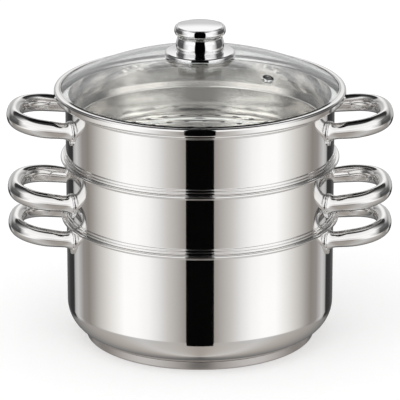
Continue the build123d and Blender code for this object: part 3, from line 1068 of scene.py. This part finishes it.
horizon = strip([
    (0.0, 0.7), (0.2, 1.0), (0.3, 1.0), (0.42, 0.6), (0.50, 0.08), (0.72, 0.08),
    (0.82, 0.5), (1.0, 0.5)], aside)
backdrop_edge = strip([
    (0.0, 1.0), (0.4, 0.9), (0.5, 0.12), (0.72, 0.12), (0.87, 0.4), (1.0, 0.6)], aside)
print("below and at the horizon: ground, cards, horizon, backdrop edge")

# %% [markdown]
# Rims, the lid and the tops of the handles mirror what lies above: flood lights, and over them a
# ceiling that is white in front and black behind and right overhead. The inside of a vessel is
# seen through the glass of the lid. It gets floods and a ceiling of its own, which are dark in
# front and show as the upright stripes of the inner walls.

# %% The studio above the horizon
FLOOD_LIGHT, INNER_FLOOD_LIGHT = 1.5, 1.8
flood = lit(strip([
    (0.0, 0.6), (0.20, 0.67), (0.40, 0.67), (0.52, 0.10), (0.68, 0.08), (0.78, 0.3),
    (0.88, 0.4), (0.95, 0.62), (1.0, 0.64)], aside), FLOOD_LIGHT)
inner_flood = lit(strip([
    (0.0, 0.08), (0.07, 0.12), (0.13, 0.5), (0.20, 1.0), (0.40, 1.0), (0.52, 0.06),
    (0.68, 0.04), (0.80, 0.56), (1.0, 0.6)], aside), INNER_FLOOD_LIGHT)
overhead = strip([(0.0, 0.95), (0.80, 0.95), (0.85, 0.04), (1.0, 0.03)], height)
gantry = strip([
    (0.0, 0.9), (0.17, 0.95), (0.45, 1.0), (0.6, 0.3), (0.75, 0.04), (1.0, 0.03)], aside)
ceiling = studio.add("Mix", {"data_type": "RGBA", "blend_type": "MULTIPLY"},
                     {0: 1.0, 6: overhead, 7: gantry}, out=2)
inner_ceiling = strip([
    (0.0, 0.08), (0.09, 0.10), (0.17, 0.9), (0.45, 1.0), (0.6, 0.6), (1.0, 0.9)], aside)
print("above the horizon: floods and ceilings for the outside and the inside")

# %% [markdown]
# The parts are stacked from the ground up. Only reflections see them: the camera sees white, and
# matt things get an even white light, so the studio can be drawn as strongly as the steel needs
# without tinting anything else. Light Path tells the rays apart, because it counts how often
# each was mirrored and how often it went through glass. No rays are aimed at the studio as they
# are at a lamp, because the mirrored ones find it by themselves.

# %% Stack the studio
ROOM_LIGHT = 1.1
WHITE = (1, 1, 1, 1)
BELOW_ONCE = 0.5


def layer(below, above, start, end):
    """One part of the room over another. Heights go from 0 at the nadir to 1 at the zenith."""
    share = studio.add("MapRange", {"interpolation_type": "SMOOTHSTEP"},
                       {"Value": height, "From Min": start, "From Max": end})
    return studio.mix(share, below, above)


room = layer(ground, cards, start=0.35, end=0.37)
room = layer(room, horizon, start=0.422, end=0.436)
room = layer(room, backdrop_edge, start=0.53, end=0.545)
outer = layer(layer(room, flood, start=0.57, end=0.61), ceiling, start=0.64, end=0.66)
inner = layer(layer(room, inner_flood, start=0.57, end=0.61), inner_ceiling, start=0.66, end=0.72)
through_glass = studio.add("LightPath", out="Transmission Depth") > BELOW_ONCE
mirrored = studio.add("LightPath", out="Glossy Depth") > BELOW_ONCE
reflected = lit(studio.mix(through_glass, outer, inner), ROOM_LIGHT)
shown = studio.mix(mirrored, WHITE, reflected)
background = studio.add("Background", None, {"Color": shown, "Strength": 1.0})
studio.add("OutputWorld", None, {"Surface": background})
world.cycles.sampling_method = "NONE"
print("studio ready, nodes:", len(world.node_tree.nodes))

# %% [markdown]
# The floor is a large pale sheet. It catches the soft shadow of the set and stays out of the
# steel's reflections, which the studio above already holds.

# %% The floor
FLOOR_ACROSS = 12.0
PAPER_BLUR, FIBRE_BLUR = 0.9, 0.05
bpy.ops.mesh.primitive_plane_add(size=FLOOR_ACROSS)
floor_sheet = bpy.context.object
floor_sheet.name = "floor"
paper, board = new_material("floor_paper")
place = board.add("TexCoord", out="Object")
fibre = board.add("TexNoise", None, {"Vector": place, "Scale": 30.0, "Detail": 2.0})
shader = board.add("BsdfPrincipled", None, {
    "Base Color": (0.62, 0.62, 0.62, 1),
    "Roughness": PAPER_BLUR + FIBRE_BLUR * fibre,
    "Specular IOR Level": 0.0,
    "Emission Color": WHITE,
    "Emission Strength": 0.42,
})
board.add("OutputMaterial", None, {"Surface": shader})
floor_sheet.data.materials.append(paper)
floor_sheet.visible_glossy = False
print("floor across, m:", FLOOR_ACROSS)

# %% [markdown]
# A photographer stands a black card in front of bright steel, so that it shows a crisp dark strip
# and reads as polished. The world is infinitely far away, so its cards fill the same share of the
# wide pot and of the slim knob. A card that stands close can be fitted to one of them: a tall one
# serves the walls, and a small one right in front of the knob gives it a strip of its own.

# %% The black cards
felt, board = new_material("black_felt")
shader = board.add("BsdfDiffuse", None, {"Color": (0.004, 0.004, 0.004, 1)})
board.add("OutputMaterial", None, {"Surface": shader})


def black_card(name, away, half, low, high):
    """An upright card of felt in front of the set, which only reflections see."""
    mesh = bpy.data.meshes.new(name)
    corners = [(half, low), (half, high), (-half, high), (-half, low)]
    mesh.from_pydata([(across, -away, up) for across, up in corners], [], [range(4)])
    mesh.materials.append(felt)
    card = placed(name, mesh)
    card.visible_camera = card.visible_diffuse = card.visible_shadow = False
    card.visible_transmission = False
    print(f"{name}: {1000 * 2 * half:.0f} mm wide, {1000 * away:.0f} mm in front of the axis")


black_card("wall_card", away=0.35, half=0.059, low=-0.12, high=1.2)
black_card("knob_card", away=0.052, half=0.0185, low=0.286, high=0.39)

# %% [markdown]
# One large, weak lamp above the set, to the left and in front of it, gives the floor a soft
# shadow. The steel doesn't mirror it.

# %% The lamp
LAMP_PLACE = Vector((-0.7, -0.9, 1.9))
LAMP_AIM = Vector((0, 0, 0.1))
LAMP_ACROSS, LAMP_POWER = 1.4, 4.0
lamp = placed("soft_lamp", bpy.data.lights.new("soft_lamp", "AREA"))
lamp.data.shape, lamp.data.size, lamp.data.energy = "DISK", LAMP_ACROSS, LAMP_POWER
lamp.location = LAMP_PLACE
lamp.rotation_euler = (LAMP_AIM - LAMP_PLACE).to_track_quat("-Z", "Y").to_euler()
lamp.visible_glossy = False
print("lamp across, m:", LAMP_ACROSS, "power, W:", LAMP_POWER)

# %% [markdown]
# The photograph was taken from far away and a little above: its circles stay even ellipses. A
# long lens a few metres off gives the same view.

# %% The camera
AIM = Vector((0, 0, 0.1425))
ELEVATION = math.radians(18.5)
DISTANCE = 3.5
LENS, SENSOR = 304.5, 36.0
camera = placed("camera", bpy.data.cameras.new("camera"))
camera.location = AIM + Vector((0, -math.cos(ELEVATION), math.sin(ELEVATION))) * DISTANCE
camera.rotation_euler = (AIM - camera.location).to_track_quat("-Z", "Y").to_euler()
camera.data.lens, camera.data.sensor_width = LENS, SENSOR
bpy.context.scene.camera = camera
bpy.context.scene.view_settings.view_transform = "Standard"
print("camera at", [round(part, 3) for part in camera.location])

# %% [markdown]
# Last, the scene is brought up to date.

# %% Update the scene
bpy.context.view_layer.update()
